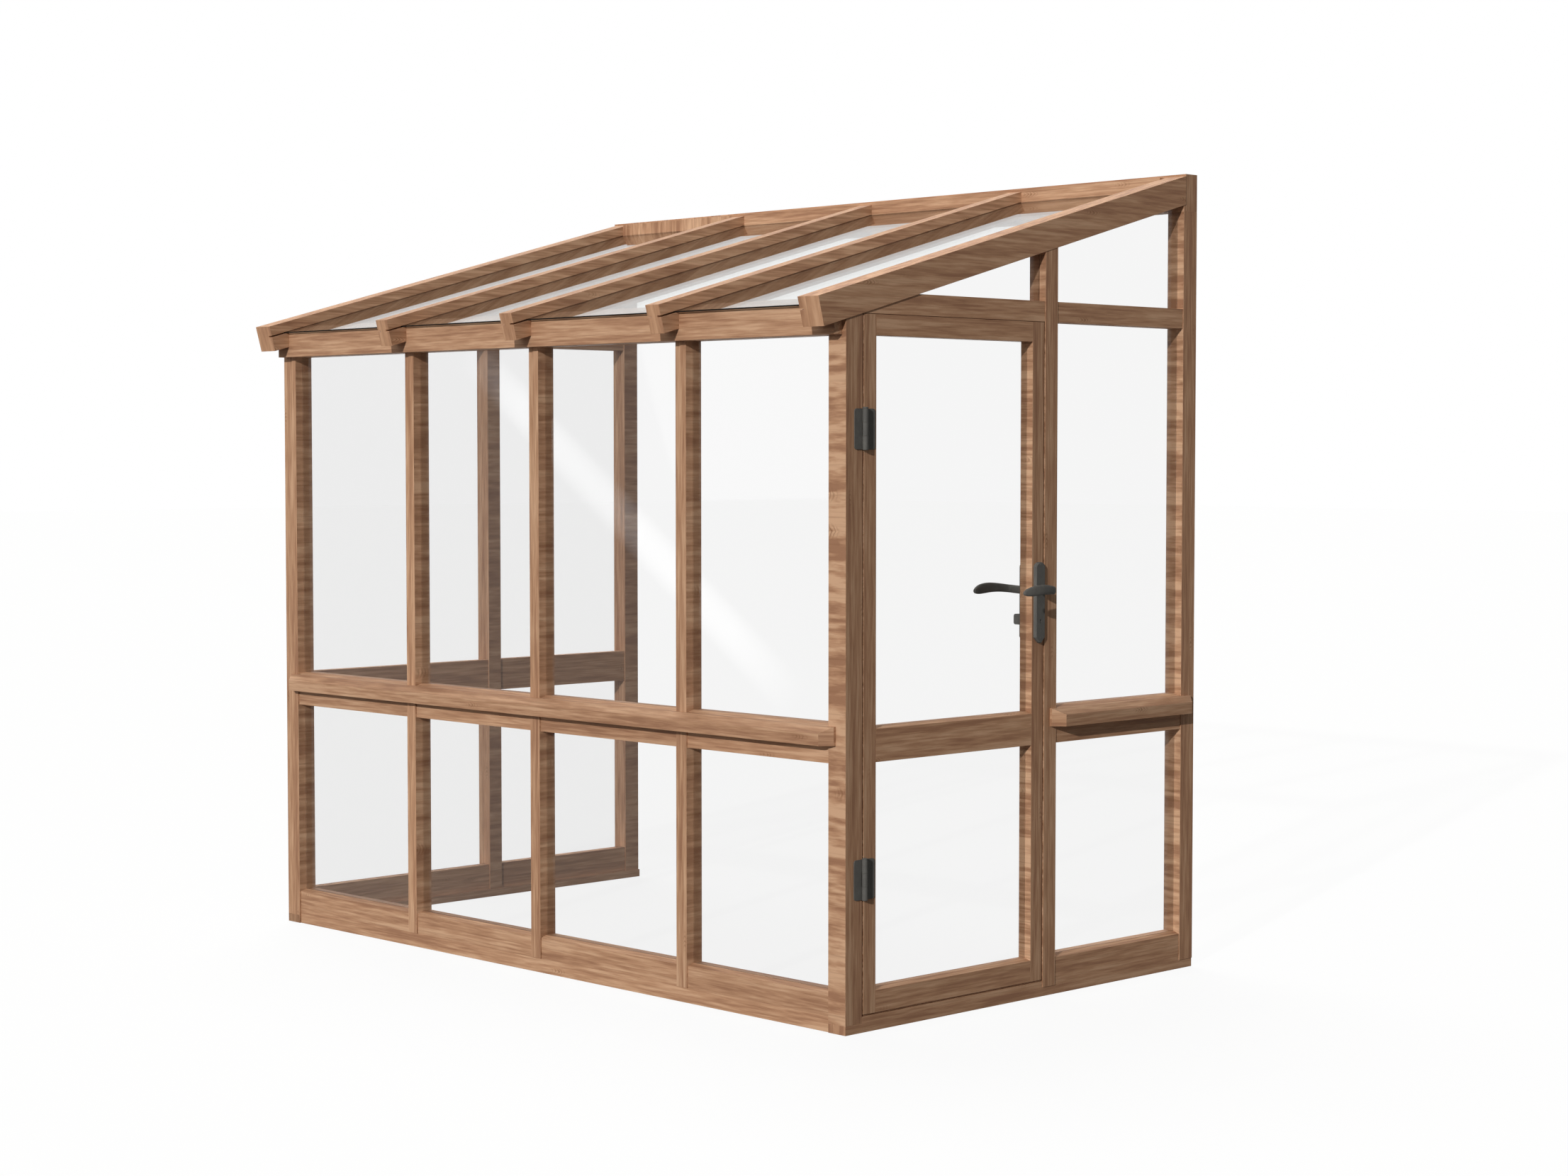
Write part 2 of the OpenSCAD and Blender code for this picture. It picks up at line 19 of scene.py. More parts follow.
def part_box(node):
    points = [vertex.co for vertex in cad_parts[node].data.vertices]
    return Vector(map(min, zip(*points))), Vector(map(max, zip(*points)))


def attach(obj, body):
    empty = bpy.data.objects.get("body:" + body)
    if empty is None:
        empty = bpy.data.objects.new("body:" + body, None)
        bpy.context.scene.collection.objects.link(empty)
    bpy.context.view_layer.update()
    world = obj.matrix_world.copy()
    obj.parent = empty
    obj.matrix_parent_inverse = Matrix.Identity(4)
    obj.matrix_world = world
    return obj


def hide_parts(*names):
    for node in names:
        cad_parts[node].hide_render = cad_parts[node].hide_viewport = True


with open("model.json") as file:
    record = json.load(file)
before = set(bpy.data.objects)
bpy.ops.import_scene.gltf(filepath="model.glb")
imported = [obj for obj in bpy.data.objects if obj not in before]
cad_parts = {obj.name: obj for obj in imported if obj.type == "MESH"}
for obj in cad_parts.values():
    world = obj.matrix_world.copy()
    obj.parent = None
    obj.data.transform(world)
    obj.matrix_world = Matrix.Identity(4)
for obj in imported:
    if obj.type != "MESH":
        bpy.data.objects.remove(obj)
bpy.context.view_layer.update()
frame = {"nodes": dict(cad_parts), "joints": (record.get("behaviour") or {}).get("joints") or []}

LOG = logging.getLogger("glasshouse")
MM = 0.001
Colour = tuple[float, float, float, float]
# Share of a normal along an axis from which a face counts as looking along it
LOOKS_ALONG = 0.6
# Corners closer than the first are joined, faces within the second are one, and edges past the
# third are eased
WELD_MM = 0.01
FLAT_DEG = 0.5
SHARP_DEG = 30.0
# Timbers of the far wall, which the bright panes in front light evenly
FAR_WALL = (
    "left_mid_post", "rear_post_left", "left_sill_rails", "left_bottom_rails", "left_transoms",
    "sole_plate_left",
)


class Grain(Enum):
    """Way the grain runs, as the turn in degrees that brings it onto the pattern's X axis."""

    ALONG = (0.0, 0.0, 0.0)
    DEPTH = (0.0, 0.0, -90.0)
    UPRIGHT = (0.0, 90.0, 0.0)
    TAIL = (-15.0, 90.0, 0.0)


class Facing(Enum):
    """Axis that a face looks along, as its place in a vector."""

    X = 0
    Y = 1


def linear(code: str) -> Colour:
    """Turns an sRGB hex colour into linear light.

    Args:
        code: Six hex digits after a hash sign.

    Returns:
        Red, green, blue and an alpha of 1.
    """
    parts = [int(code[i:i + 2], 16) / 255 for i in (1, 3, 5)]
    red, green, blue = (
        c / 12.92 if c <= 0.04045 else ((c + 0.055) / 1.055) ** 2.4 for c in parts
    )
    return red, green, blue, 1.0


def add_node(
    tree: bpy.types.NodeTree, kind: str, inputs: dict[Any, Any] | None = None, **settings: Any
) -> bpy.types.Node:
    """Adds a shader node with its settings and links.

    Args:
        tree: Node tree that takes the node.
        kind: Blender's name for the node's type.
        inputs: For each input's name or place, a value or the socket that feeds it.
        settings: Properties of the node itself.

    Returns:
        The new node.
    """
    node = tree.nodes.new(kind)
    for name, value in settings.items():
        setattr(node, name, value)
    for key, value in (inputs or {}).items():
        if isinstance(value, bpy.types.NodeSocket):
            tree.links.new(value, node.inputs[key])
        else:
            node.inputs[key].default_value = value
    return node


def combine(tree: bpy.types.NodeTree, operation: str, *values: Any) -> bpy.types.NodeSocket:
    """Adds a node that works out one number from others.

    Args:
        tree: Node tree that takes the node.
        operation: Blender's name for the sum.
        values: Numbers or sockets, in the order of the node's inputs.

    Returns:
        The result.
    """
    inputs = dict(enumerate(values))
    return add_node(tree, "ShaderNodeMath", inputs, operation=operation).outputs[0]


def faces_along(tree: bpy.types.NodeTree, facing: Facing) -> bpy.types.NodeSocket:
    """Finds the faces that look along an axis, one way or the other.

    Args:
        tree: The material's node tree.
        facing: The axis.

    Returns:
        1 on those faces and 0 on the rest.
    """
    normal = add_node(tree, "ShaderNodeTexCoord").outputs["Normal"]
    axes = add_node(tree, "ShaderNodeSeparateXYZ", {0: normal})
    size = combine(tree, "ABSOLUTE", axes.outputs[facing.value])
    return combine(tree, "GREATER_THAN", size, LOOKS_ALONG)


def blank_material(name: str) -> tuple[bpy.types.Material, bpy.types.NodeTree, bpy.types.Node]:
    """Makes a material with only its output.

    Args:
        name: The material's name.

    Returns:
        The material, its node tree and its output node.
    """
    material = bpy.data.materials.new(name)
    material.use_nodes = True
    tree = material.node_tree
    tree.nodes.clear()
    return material, tree, add_node(tree, "ShaderNodeOutputMaterial")


@dataclass(frozen=True)
class Timber:
    """Oiled cedar, planed: warm brown with soft smudged bands, thin dark lines and flame marks.

    Sizes are millimetres along and across the grain. The finest real lines are about 1 mm wide
    and are drawn 3 mm wide so that they still show at the render's scale. Faces that look along
    cross_facing show the grain of cross_grain, with features as many times wider as cross_wide
    and as many times stronger as cross_gain. So does the whole stretch with X below
    cross_before_mm, where a board of another cut is let in. A flat pattern is the same all
    through the axis that is 0, so it runs round a splayed end. Boards vary in brightness by the
    range lift, times bright.
    """

    name: str
    grain: Grain
    cross_grain: Grain | None = None
    cross_facing: Facing = Facing.Y
    cross_wide: float = 2.4
    cross_gain: float = 1.1
    cross_before_mm: float | None = None
    bright: float = 1.0
    flat: tuple[float, float, float] | None = None
    dark: str = "#9a735a"
    body: str = "#b58d70"
    pale: str = "#cca688"
    mark: str = "#7d5940"
    board_mm: tuple[float, float] = (620.0, 22.0)
    smudge_mm: tuple[float, float] = (110.0, 7.0)
    line_mm: tuple[float, float] = (260.0, 3.0)
    flame_mm: tuple[float, float] = (40.0, 10.0)
    flame_every_mm: tuple[float, float] = (380.0, 54.0)
    feather_mm: tuple[float, float] = (13.0, 8.0)
    feather_stray: float = 9.0
    line_strength: float = 0.32
    flame_strength: float = 0.75
    lift: tuple[float, float] = (0.93, 1.05)
    saturation: float = 1.06
    roughness: tuple[float, float] = (0.54, 0.7)
    relief_mm: float = 0.5
    seed_spread: float = 7.3
    seed_shift_m: tuple[float, float, float] = (3.1, 1.7, 2.3)

    def material(self) -> bpy.types.Material:
        """Builds the cedar with its grain, roughness and fine relief.

        Returns:
            The finished material.
        """
        material, tree, output = blank_material(self.name)
        vector, seed, crossed = self._vector(tree)
        tone = self._tone(tree, vector, crossed)
        ramp = add_node(tree, "ShaderNodeValToRGB", {"Fac": tone})
        self._stops(ramp)
        marks = combine(tree, "MAXIMUM", self._lines(tree, vector), self._flames(tree, vector))
        marked = add_node(
            tree, "ShaderNodeMix", {0: marks, 6: ramp.outputs["Color"], 7: linear(self.mark)},
            data_type="RGBA",
        )
        dull, fresh = (share * self.bright for share in self.lift)
        lift = add_node(
            tree, "ShaderNodeMapRange", {"Value": seed, "To Min": dull, "To Max": fresh}
        )
        toned = add_node(
            tree, "ShaderNodeHueSaturation",
            {"Saturation": self.saturation, "Value": lift.outputs[0], "Color": marked.outputs[2]},
        )
        smooth, coarse = self.roughness
        rough = add_node(
            tree, "ShaderNodeMapRange",
            {"Value": tone, "From Min": 0.3, "From Max": 0.7, "To Min": smooth, "To Max": coarse},
        )
        relief = add_node(
            tree, "ShaderNodeBump",
            {"Strength": 0.2, "Distance": self.relief_mm * MM, "Height": tone},
        )
        surface = add_node(
            tree, "ShaderNodeBsdfPrincipled",
            {
                "Base Color": toned.outputs[0], "Roughness": rough.outputs[0],
                "Normal": relief.outputs[0], "Specular IOR Level": 0.2, "IOR": 1.5,
            },
        )
        tree.links.new(surface.outputs[0], output.inputs["Surface"])
        return material

    def _tone(
        self, tree: bpy.types.NodeTree, vector: bpy.types.NodeSocket,
        crossed: bpy.types.NodeSocket | None,
    ) -> bpy.types.NodeSocket:
        """Mixes the board's broad bands with its smudges, half and half.

        Args:
            tree: The material's node tree.
            vector: Coordinates with the grain along X.
            crossed: 1 on faces with the cross grain, if there is one.

        Returns:
            The tone from 0 to 1.
        """
        board = self._noise(tree, vector, self.board_mm, 2.0)
        smudge = self._noise(tree, vector, self.smudge_mm, 3.0)
        tone = add_node(
            tree, "ShaderNodeMix", {0: 0.5, 2: board, 3: smudge}, data_type="FLOAT"
        ).outputs[0]
        if crossed is None:
            return tone
        middle = 0.5 - 0.5 * self.cross_gain
        strong = combine(tree, "MULTIPLY_ADD", tone, self.cross_gain, middle)
        mixed = add_node(
            tree, "ShaderNodeMix", {0: crossed, 2: tone, 3: strong}, data_type="FLOAT"
        )
        return mixed.outputs[0]

    def _vector(
        self, tree: bpy.types.NodeTree
    ) -> tuple[bpy.types.NodeSocket, bpy.types.NodeSocket, bpy.types.NodeSocket | None]:
        """Lays the pattern along the grain and shifts it for each piece.

        Args:
            tree: The material's node tree.

        Returns:
            Coordinates in metres with the grain along X, a number from 0 to 1 per piece, and 1
            on faces with the cross grain if there is one.
        """
        crossed = None
        spot = add_node(tree, "ShaderNodeTexCoord").outputs["Object"]
        if self.flat is not None:
            spot = add_node(
                tree, "ShaderNodeVectorMath", {0: spot, 1: self.flat}, operation="MULTIPLY"
            ).outputs[0]
        turned = self._turned(tree, spot, self.grain)
        if self.cross_grain is not None:
            across = self._turned(tree, spot, self.cross_grain)
            thin = 1 / self.cross_wide
            wider = add_node(
                tree, "ShaderNodeVectorMath", {0: across, 1: (1.0, thin, thin)},
                operation="MULTIPLY",
            )
            crossed = faces_along(tree, self.cross_facing)
            if self.cross_before_mm is not None:
                crossed = self._or_before(tree, spot, crossed, self.cross_before_mm)
            turned = add_node(
                tree, "ShaderNodeMix", {0: crossed, 4: turned, 5: wider.outputs[0]},
                data_type="VECTOR",
            ).outputs[1]
        piece = add_node(tree, "ShaderNodeObjectInfo")
        island = add_node(tree, "ShaderNodeNewGeometry")
        both = combine(
            tree, "MULTIPLY_ADD", island.outputs["Random Per Island"], self.seed_spread,
            piece.outputs["Random"],
        )
        seed = combine(tree, "FRACT", both)
        shift = add_node(
            tree, "ShaderNodeVectorMath", {0: self.seed_shift_m, "Scale": seed},
            operation="SCALE",
        )
        moved = add_node(
            tree, "ShaderNodeVectorMath", {0: turned, 1: shift.outputs[0]}, operation="ADD"
        )
        return moved.outputs[0], seed, crossed

    @staticmethod
    def _or_before(
        tree: bpy.types.NodeTree,
        spot: bpy.types.NodeSocket,
        crossed: bpy.types.NodeSocket,
        limit_mm: float,
    ) -> bpy.types.NodeSocket:
        """Adds the stretch before a limit along X to the faces with the cross grain.

        Args:
            tree: The material's node tree.
            spot: Coordinates in the row frame.
            crossed: 1 on faces with the cross grain.
            limit_mm: Where the stretch ends.

        Returns:
            1 on those faces and on the stretch.
        """
        along = add_node(tree, "ShaderNodeSeparateXYZ", {0: spot}).outputs[0]
        return combine(tree, "MAXIMUM", crossed, combine(tree, "LESS_THAN", along, limit_mm * MM))

    @staticmethod
    def _turned(
        tree: bpy.types.NodeTree, vector: bpy.types.NodeSocket, grain: Grain
    ) -> bpy.types.NodeSocket:
        """Turns coordinates so that the grain runs along X.

        Args:
            tree: The material's node tree.
            vector: Coordinates in the row frame.
            grain: The way the grain runs.

        Returns:
            The turned coordinates.
        """
        turn = tuple(math.radians(angle) for angle in grain.value)
        node = add_node(tree, "ShaderNodeMapping", {"Vector": vector, "Rotation": turn})
        return node.outputs[0]

    @staticmethod
    def _scaled(
        tree: bpy.types.NodeTree, vector: bpy.types.NodeSocket, size: tuple[float, float]
    ) -> bpy.types.NodeSocket:
        """Scales coordinates so that one unit is a feature's size.

        Args:
            tree: The material's node tree.
            vector: Coordinates with the grain along X.
            size: Length and width of a feature in millimetres.

        Returns:
            The scaled coordinates.
        """
        long, wide = (1 / (s * MM) for s in size)
        node = add_node(
            tree, "ShaderNodeVectorMath", {0: vector, 1: (long, wide, wide)},
            operation="MULTIPLY",
        )
        return node.outputs[0]

    def _noise(
        self, tree: bpy.types.NodeTree, vector: bpy.types.NodeSocket,
        size: tuple[float, float], detail: float,
    ) -> bpy.types.NodeSocket:
        """Soft noise stretched along the grain.

        Args:
            tree: The material's node tree.
            vector: Coordinates with the grain along X.
            size: Length and width of a streak in millimetres.
            detail: Octaves of finer noise.

        Returns:
            The noise's value.
        """
        noise = add_node(
            tree, "ShaderNodeTexNoise",
            {
                "Vector": self._scaled(tree, vector, size), "Scale": 1.0, "Detail": detail,
                "Roughness": 0.55,
            },
        )
        return noise.outputs[0]

    def _lines(
        self, tree: bpy.types.NodeTree, vector: bpy.types.NodeSocket
    ) -> bpy.types.NodeSocket:
        """Thin dark lines of late wood, few and far between.

        Args:
            tree: The material's node tree.
            vector: Coordinates with the grain along X.

        Returns:
            The lines' strength from 0 to 1.
        """
        fine = self._noise(tree, vector, self.line_mm, 1.0)
        picked = add_node(
            tree, "ShaderNodeMapRange",
            {
                "Value": fine, "From Min": 0.55, "From Max": 0.72,
                "To Min": 0.0, "To Max": self.line_strength,
            },
        )
        return picked.outputs[0]

    def _flames(
        self, tree: bpy.types.NodeTree, vector: bpy.types.NodeSocket
    ) -> bpy.types.NodeSocket:
        """Feathered flame marks: short dark strokes that stray round scattered points.

        Args:
            tree: The material's node tree.
            vector: Coordinates with the grain along X.

        Returns:
            The marks' strength from 0 to 1.
        """
        spread = self._scaled(tree, vector, self.flame_every_mm)
        centres = add_node(
            tree, "ShaderNodeTexVoronoi", {"Vector": spread, "Scale": 1.0}, feature="F1"
        )
        away = add_node(
            tree, "ShaderNodeVectorMath", {0: spread, 1: centres.outputs["Position"]},
            operation="SUBTRACT",
        )
        long, wide = (e / f for e, f in zip(self.flame_every_mm, self.flame_mm))
        near = add_node(
            tree, "ShaderNodeVectorMath", {0: away.outputs[0], 1: (long, wide, wide)},
            operation="MULTIPLY",
        )
        reach = add_node(
            tree, "ShaderNodeVectorMath", {0: near.outputs[0]}, operation="LENGTH"
        )
        patch = add_node(
            tree, "ShaderNodeMapRange",
            {
                "Value": reach.outputs["Value"], "From Min": 0.25, "From Max": 1.0,
                "To Min": self.flame_strength, "To Max": 0.0,
            },
        )
        long, wide = (2 * math.pi * e / f for e, f in zip(self.flame_every_mm, self.feather_mm))
        along = add_node(
            tree, "ShaderNodeVectorMath", {0: away.outputs[0], 1: (long, 0.0, 0.0)},
            operation="DOT_PRODUCT",
        )
        aside = add_node(
            tree, "ShaderNodeVectorMath", {0: away.outputs[0], 1: (0.0, wide, wide)},
            operation="MULTIPLY",
        )
        aside = add_node(
            tree, "ShaderNodeVectorMath", {0: aside.outputs[0]}, operation="LENGTH"
        )
        phase = combine(tree, "ADD", along.outputs["Value"], aside.outputs["Value"])
        noise = self._noise(tree, vector, self.feather_mm, 2.0)
        stray = combine(tree, "MULTIPLY_ADD", noise, self.feather_stray, phase)
        share = add_node(
            tree, "ShaderNodeMapRange",
            {"Value": combine(tree, "SINE", stray), "From Min": -0.4, "From Max": 1.0},
        )
        return combine(tree, "MULTIPLY", share.outputs[0], patch.outputs[0])

    def _stops(self, ramp: bpy.types.Node) -> None:
        """Sets the ramp's colours from dark through body to pale.

        Args:
            ramp: The colour ramp.
        """
        stops = ramp.color_ramp.elements
        stops[0].position, stops[0].color = 0.38, linear(self.dark)
        stops[1].position, stops[1].color = 0.62, linear(self.pale)
        stops.new(0.5).color = linear(self.body)


@dataclass(frozen=True)
class FloatGlass:
    """Clear float glass: nearly colourless, with mirror reflections that grow at a low angle.

    Soft studio light is dimmed by the panes as much as shade says. A cut edge that looks along
    edge_facing is painted a dark matt brown: painted shade for the dark line at the sheet's edge.
    """

    name: str
    edge_facing: Facing | None = None
    tint: str = "#fafafa"
    shade: str = "#d9d9d8"
    # Painted shade on the sheet's cut edge
    edge: str = "#241f1b"
    mirror_ior: float = 1.22

    def material(self) -> bpy.types.Material:
        """Builds the pane's finish, the same seen from either side.

        Returns:
            The finished material.
        """
        material, tree, output = blank_material(self.name)
        side = add_node(tree, "ShaderNodeNewGeometry")
        behind = 1 / self.mirror_ior - self.mirror_ior
        ior = combine(
            tree, "MULTIPLY_ADD", side.outputs["Backfacing"], behind, self.mirror_ior
        )
        mirror = add_node(tree, "ShaderNodeFresnel", {"IOR": ior})
        clear = add_node(tree, "ShaderNodeBsdfTransparent", {"Color": linear(self.tint)})
        gloss = add_node(
            tree, "ShaderNodeBsdfGlossy", {"Color": linear("#ffffff"), "Roughness": 0.02}
        )
        pane = add_node(
            tree, "ShaderNodeMixShader",
            {0: mirror.outputs[0], 1: clear.outputs[0], 2: gloss.outputs[0]},
        )
        dimmed = add_node(tree, "ShaderNodeBsdfTransparent", {"Color": linear(self.shade)})
        path = add_node(tree, "ShaderNodeLightPath")
        surface = add_node(
            tree, "ShaderNodeMixShader",
            {0: path.outputs["Is Shadow Ray"], 1: pane.outputs[0], 2: dimmed.outputs[0]},
        )
        if self.edge_facing is not None:
            surface = self._with_painted_edge_shade(tree, surface.outputs[0], self.edge_facing)
        tree.links.new(surface.outputs[0], output.inputs["Surface"])
        return material

    def _with_painted_edge_shade(
        self, tree: bpy.types.NodeTree, pane: bpy.types.NodeSocket, facing: Facing
    ) -> bpy.types.Node:
        """Paints shade on the sheet's cut edges as a dark matt colour.

        Args:
            tree: The material's node tree.
            pane: The shader of the sheet's faces.
            facing: Axis that the cut edge looks along.

        Returns:
            The node that mixes both.
        """
        cut = faces_along(tree, facing)
        # Painted shade: the cut edge is a dark matt brown
        dark = add_node(
            tree, "ShaderNodeBsdfPrincipled",
            {"Base Color": linear(self.edge), "Roughness": 0.8, "Specular IOR Level": 0.05},
        )
        return add_node(
            tree, "ShaderNodeMixShader", {0: cut, 1: pane, 2: dark.outputs[0]}
        )


@dataclass(frozen=True)
class PowderCoat:
    """Graphite powder coat on cast metal: dark, satin, with a faint orange-peel texture.

    The real texture is about 0.4 mm and is drawn at 1.5 mm so that it still shows.
    """

    name: str
    body: str = "#605e5a"
    worn: str = "#6a6863"
    peel_mm: float = 1.5
    cloud_mm: float = 18.0
    roughness: tuple[float, float] = (0.6, 0.75)
    relief_mm: float = 0.2

    def material(self) -> bpy.types.Material:
        """Builds the coat with its cloudy tone and fine relief.

        Returns:
            The finished material.
        """
        material, tree, output = blank_material(self.name)
        place = add_node(tree, "ShaderNodeTexCoord").outputs["Object"]
        cloud = add_node(
            tree, "ShaderNodeTexNoise",
            {"Vector": place, "Scale": 1 / (self.cloud_mm * MM), "Detail": 3.0},
        )
        peel = add_node(
            tree, "ShaderNodeTexNoise",
            {"Vector": place, "Scale": 1 / (self.peel_mm * MM), "Detail": 1.0},
        )
        ramp = add_node(tree, "ShaderNodeValToRGB", {"Fac": cloud.outputs[0]})
        ends = ramp.color_ramp.elements
        ends[0].position, ends[0].color = 0.4, linear(self.body)
        ends[1].position, ends[1].color = 0.75, linear(self.worn)
        smooth, coarse = self.roughness
        rough = add_node(
            tree, "ShaderNodeMapRange",
            {"Value": cloud.outputs[0], "To Min": smooth, "To Max": coarse},
        )
        relief = add_node(
            tree, "ShaderNodeBump",
            {"Strength": 0.12, "Distance": self.relief_mm * MM, "Height": peel.outputs[0]},
        )
        surface = add_node(
            tree, "ShaderNodeBsdfPrincipled",
            {
                "Base Color": ramp.outputs["Color"], "Roughness": rough.outputs[0],
                "Normal": relief.outputs[0], "Metallic": 0.0, "Specular IOR Level": 0.12,
            },
        )
        tree.links.new(surface.outputs[0], output.inputs["Surface"])
        return material


def dress(node: str, material: bpy.types.Material) -> bpy.types.Object:
    """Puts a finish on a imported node.

    Args:
        node: The node's name.
        material: Its finish.

    Returns:
        The node's object.
    """
    piece = frame["nodes"][node]
    piece.data.materials.clear()
    piece.data.materials.append(material)
    LOG.info("dressed %s with %s", node, material.name)
    return piece


def join_faces(piece: bpy.types.Object) -> bpy.types.Object:
    """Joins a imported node's triangles into whole faces, so each solid has one pattern.

    Args:
        piece: The piece.

    Returns:
        The same piece.
    """
    weld = piece.modifiers.new("weld", "WELD")
    weld.merge_threshold = WELD_MM * MM
    flat = piece.modifiers.new("flat", "DECIMATE")
    flat.decimate_type = "DISSOLVE"
    flat.angle_limit = math.radians(FLAT_DEG)
    return piece


def ease_edges(piece: bpy.types.Object, width_mm: float) -> None:
    """Rounds a piece's sharp edges a little, as sandpaper does.

    Args:
        piece: The piece.
        width_mm: Width of the rounding.
    """
    bevel = join_faces(piece).modifiers.new("eased", "BEVEL")
    bevel.width = width_mm * MM
    bevel.segments = 2
    bevel.limit_method = "ANGLE"
    bevel.angle_limit = math.radians(SHARP_DEG)


def new_piece(
    name: str, mesh: bmesh.types.BMesh, material: bpy.types.Material, body: str,
    smooth: bool = True,
) -> bpy.types.Object:
    """Turns mesh data into a piece that moves with a body.

    Args:
        name: The piece's name.
        mesh: Its faces, in metres in the row frame.
        material: Its finish.
        body: Body that it moves with.
        smooth: Whether its faces are shaded smoothly.

    Returns:
        The new piece.
    """
    bmesh.ops.recalc_face_normals(mesh, faces=mesh.faces)
    data = bpy.data.meshes.new(name)
    mesh.to_mesh(data)
    mesh.free()
    for polygon in data.polygons:
        polygon.use_smooth = smooth
    piece = bpy.data.objects.new(name, data)
    bpy.context.scene.collection.objects.link(piece)
    data.materials.append(material)
    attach(piece, body)
    LOG.info("built %s with %d faces", name, len(data.polygons))
    return piece


def turned_form(
    mesh: bmesh.types.BMesh, profile: list[tuple[float, float]], place: Matrix, sides: int = 32
) -> None:
    """Adds a form turned round its own Z axis.

    Args:
        mesh: Mesh that takes the faces.
        profile: Radius and height of each ring from the foot up, in millimetres.
        place: Where the form's axis and foot are, in metres.
        sides: Points round each ring.
    """
    rings = []
    for radius, height in profile:
        rings.append([
            mesh.verts.new(place @ Vector((
                radius * MM * math.cos(2 * math.pi * i / sides),
                radius * MM * math.sin(2 * math.pi * i / sides), height * MM,
            )))
            for i in range(sides)
        ])
    for low, high in zip(rings, rings[1:]):
        for i in range(sides):
            j = (i + 1) % sides
            mesh.faces.new((low[i], low[j], high[j], high[i]))
    mesh.faces.new(list(reversed(rings[0])))
    mesh.faces.new(rings[-1])


@dataclass
class Frame:
    """The cedar frame: plates, posts, rails, sills and beam of the three walls."""

    arris_mm: float = 0.4
    along: tuple[str, ...] = (
        "sole_plate_front", "front_bottom_rails", "front_sill_rails", "eaves_beam",
    )
    depth: tuple[str, ...] = (
        "sole_plate_left", "sole_plate_right", "threshold_strips", "left_bottom_rails",
        "left_sill_rails", "left_transoms", "right_bottom_rail", "right_sill_rail",
        "right_transoms",
    )
    right_posts: tuple[str, ...] = ("corner_post_right", "rear_post_right", "right_mid_post")
    other_posts: tuple[str, ...] = (
        "corner_post_left", "front_mullions", "left_mid_post", "rear_post_left",
    )

    def build(self) -> None:
        """Dresses every timber of the walls. The sills keep crisp edges and the rest is eased."""
        finishes = (
            (self.along, Timber("cedar_along", Grain.ALONG)),
            (self.depth, Timber("cedar_depth", Grain.DEPTH, Grain.UPRIGHT, bright=1.05)),
            (self.right_posts, Timber("cedar_post", Grain.UPRIGHT, Grain.ALONG, cross_gain=1.7)),
            (self.other_posts, Timber("cedar_mullion", Grain.UPRIGHT, Grain.DEPTH, Facing.X)),
        )
        for nodes, timber in finishes:
            material = timber.material()
            for node in nodes:
                ease_edges(dress(node, material), self.arris_mm)
        front = Timber("cedar_front_sill", Grain.ALONG, flat=(1.0, 0.0, 1.0)).material()
        side = Timber("cedar_side_sill", Grain.DEPTH, flat=(0.0, 1.0, 1.0)).material()
        join_faces(dress("front_sill", front))
        for node in ("left_sill", "right_sill"):
            join_faces(dress(node, side))


@dataclass
class Roof:
    """Rafters with their glazing grooves, the ridge and its ledger.

    The first bay of the ridge, up to let_in_mm, has upright grain.
    """

    arris_mm: float = 0.4
    let_in_mm: float = -634.0

    def build(self) -> None:
        """Dresses the roof's timbers and eases their edges."""
        rafter = Timber(
            "cedar_rafter", Grain.DEPTH, Grain.TAIL, cross_gain=0.8, bright=1.08
        ).material()
        ridge = Timber(
            "cedar_ridge", Grain.ALONG, Grain.UPRIGHT, Facing.X,
            cross_wide=1.6, cross_before_mm=self.let_in_mm,
        ).material()
        for node in ("end_rafter_left", "end_rafter_right", "rafters"):
            ease_edges(dress(node, rafter), self.arris_mm)
        for node in ("ridge_board", "ridge_ledger"):
            ease_edges(dress(node, ridge), self.arris_mm)


@dataclass
class Glazing:
    """All panes of clear float glass."""

    front: tuple[str, ...] = ("front_lower_glass", "front_upper_glass")
    ends: tuple[str, ...] = ("left_wall_glass", "right_wall_glass", "gable_glass", "door_glass")
    roof: tuple[str, ...] = ("roof_glass",)

    def build(self) -> None:
        """Dresses every pane. The end panes are met at a low angle and dim the key light more."""
        sloped = FloatGlass("float_glass_roof", Facing.Y, tint="#f0f1f0", shade="#e5e5e4")
        finishes = (
            (self.front, FloatGlass("float_glass_front", shade="#f2f2f2")),
            (self.ends, FloatGlass("float_glass_ends", shade="#d6d6d5")),
            (self.roof, sloped),
        )
        for nodes, glass in finishes:
            material = glass.material()
            for node in nodes:
                dress(node, material)


@dataclass
class Door:
    """The door leaf's stiles and rails."""

    arris_mm: float = 0.4
    stiles: tuple[str, ...] = ("door_hinge_stile", "door_lock_stile")
    rails: tuple[str, ...] = ("door_top_rail", "door_mid_rail", "door_bottom_rail")

    def build(self) -> None:
        """Dresses the leaf's timbers and eases their edges."""
        upright = Timber(
            "cedar_stile", Grain.UPRIGHT, Grain.ALONG, cross_wide=1.5, cross_gain=1.6
        ).material()
        level = Timber("cedar_door_rail", Grain.DEPTH, bright=1.1).material()
        for node in self.stiles:
            ease_edges(dress(node, upright), self.arris_mm)
        for node in self.rails:
            ease_edges(dress(node, level), self.arris_mm)


